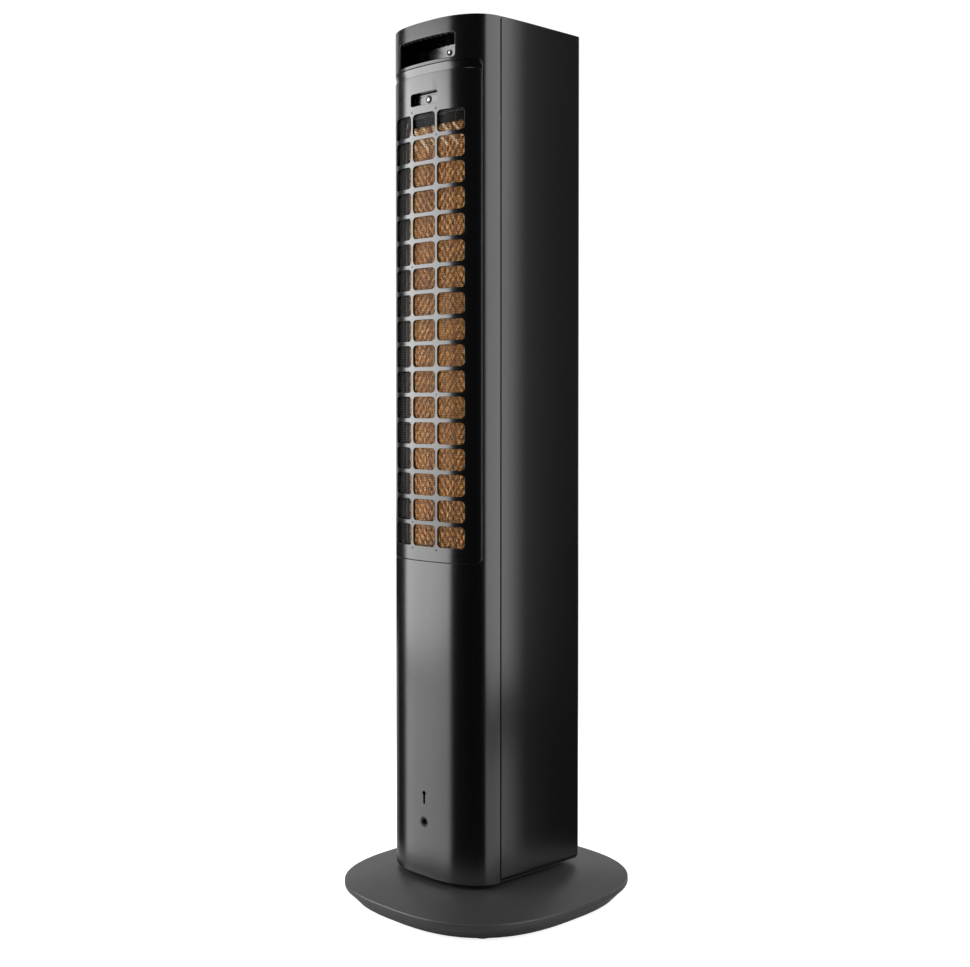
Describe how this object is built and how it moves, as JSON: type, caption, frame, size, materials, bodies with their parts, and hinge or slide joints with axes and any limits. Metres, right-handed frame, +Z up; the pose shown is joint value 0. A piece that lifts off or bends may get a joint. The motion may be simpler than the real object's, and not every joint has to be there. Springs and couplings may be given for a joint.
{
  "type": "evaporative tower air cooler",
  "caption": "Tall slim evaporative air cooler: rounded column with rear grille panel and wet pad, slide-out water tank, tall cross-flow blower, swivelling on a domed base.",
  "frame": {"origin": "middle of the base's footprint, on the floor, on the swivel axis", "axes": "+Z up, +Y towards the air intake and handle at the back, -Y towards the air outlet, +X to the left of someone facing the outlet"},
  "size_m": [0.3286, 0.3442, 1.1],
  "materials": {
    "body_plastic": "semi-gloss moulded black",
    "base_plastic": "semi-gloss moulded black",
    "inner_plastic": "matt moulded black",
    "pale_plastic": "natural bearing plastic",
    "clear_plastic": "clear",
    "hose_plastic": "translucent hose",
    "dark_lens": "smoked, polished",
    "rubber": "matt black",
    "steel": "zinc plated",
    "screw_steel": "bright plated",
    "bronze": "sintered",
    "circuit_board": "solder-masked laminate",
    "foam": "moulded bead foam",
    "cellulose": "resin-stiffened corrugated paper",
    "mesh": "woven plastic thread"
  },
  "bodies": {
    "base": {"base_cover": "base_plastic", "base_plate": "inner_plastic", "ballast_plate": "steel", "foot_front_left": "rubber", "foot_front_right": "rubber", "foot_rear_left": "rubber", "foot_rear_right": "rubber", "bearing_ring": "pale_plastic", "swivel_motor": "steel"},
    "drive_pinion": {"drive_pinion": "pale_plastic"},
    "tower": {"floor_plate": "inner_plastic", "swivel_neck": "pale_plastic", "swivel_gear": "pale_plastic", "rear_shell": "body_plastic", "front_shell": "body_plastic", "lower_bulkhead": "inner_plastic", "top_bulkhead": "inner_plastic", "splash_wall": "inner_plastic", "tank_rail_left": "inner_plastic", "tank_rail_right": "inner_plastic", "handle_cup": "body_plastic", "handle_screw": "screw_steel", "cord_grommet": "rubber", "outlet_grille": "body_plastic", "top_deck": "body_plastic", "control_panel": "body_plastic", "display_lens": "dark_lens", "control_board": "circuit_board", "scroll_housing": "foam", "top_bearing": "bronze", "blower_motor": "steel", "water_trough": "inner_plastic", "drip_tray": "inner_plastic", "drain_tube": "hose_plastic", "riser_pipe": "hose_plastic", "riser_seal": "rubber", "power_board": "circuit_board"},
    "blower": {"blower_wheel": "inner_plastic", "blower_shaft": "steel"},
    "rear_panel": {"rear_panel": "body_plastic", "panel_screw": "screw_steel", "dust_filter": "mesh", "pad_frame": "inner_plastic", "cooling_pad": "cellulose"},
    "tank": {"tank": "clear_plastic", "tank_front": "body_plastic", "level_window": "clear_plastic", "pump_cover": "inner_plastic", "pump": "inner_plastic", "pump_tube": "hose_plastic", "float_stem": "pale_plastic"},
    "pump_impeller": {"pump_impeller": "pale_plastic"},
    "float": {"float": "pale_plastic"},
    "button_1": {"button_1": "body_plastic"},
    "button_2": {"button_2": "body_plastic"},
    "button_3": {"button_3": "body_plastic"},
    "button_4": {"button_4": "body_plastic"},
    "button_5": {"button_5": "body_plastic"}
  },
  "joints": [
    {"name": "tower_swivel", "type": "hinge", "parent": "base", "child": "tower", "pos_m": [0, 0, 0.0463], "axis": [0, 0, 1], "range_deg": [-35, 35]},
    {"name": "pinion_turn", "type": "hinge", "parent": "base", "child": "drive_pinion", "pos_m": [0, 0.045, 0.0345], "axis": [0, 0, 1], "range_deg": [-145, 145]},
    {"name": "blower_spin", "type": "hinge", "parent": "tower", "child": "blower", "pos_m": [0, -0.01, 0.7165], "axis": [0, 0, 1], "continuous": true},
    {"name": "rear_panel_tilt", "type": "hinge", "parent": "tower", "child": "rear_panel", "pos_m": [0, 0.1098, 0.4387], "axis": [-1, 0, 0], "range_deg": [0, 35]},
    {"name": "tank_slide", "type": "slide", "parent": "tower", "child": "tank", "axis": [0, -1, 0], "range_m": [0, 0.11]},
    {"name": "pump_impeller_spin", "type": "hinge", "parent": "tank", "child": "pump_impeller", "pos_m": [-0.05, 0.032, 0.0885], "axis": [0, 0, 1], "continuous": true},
    {"name": "float_rise", "type": "slide", "parent": "tank", "child": "float", "axis": [0, 0, 1], "range_m": [0, 0.06]},
    {"name": "button_1_press", "type": "slide", "parent": "tower", "child": "button_1", "axis": [0, 0, -1], "range_m": [0, 0.001], "stiffness_N_per_m": 400},
    {"name": "button_2_press", "type": "slide", "parent": "tower", "child": "button_2", "axis": [0, 0, -1], "range_m": [0, 0.001], "stiffness_N_per_m": 400},
    {"name": "button_3_press", "type": "slide", "parent": "tower", "child": "button_3", "axis": [0, 0, -1], "range_m": [0, 0.001], "stiffness_N_per_m": 400},
    {"name": "button_4_press", "type": "slide", "parent": "tower", "child": "button_4", "axis": [0, 0, -1], "range_m": [0, 0.001], "stiffness_N_per_m": 400},
    {"name": "button_5_press", "type": "slide", "parent": "tower", "child": "button_5", "axis": [0, 0, -1], "range_m": [0, 0.001], "stiffness_N_per_m": 400}
  ],
  "couplings": [
    {"joint": "pinion_turn", "follows": "tower_swivel", "ratio": -4}
  ]
}
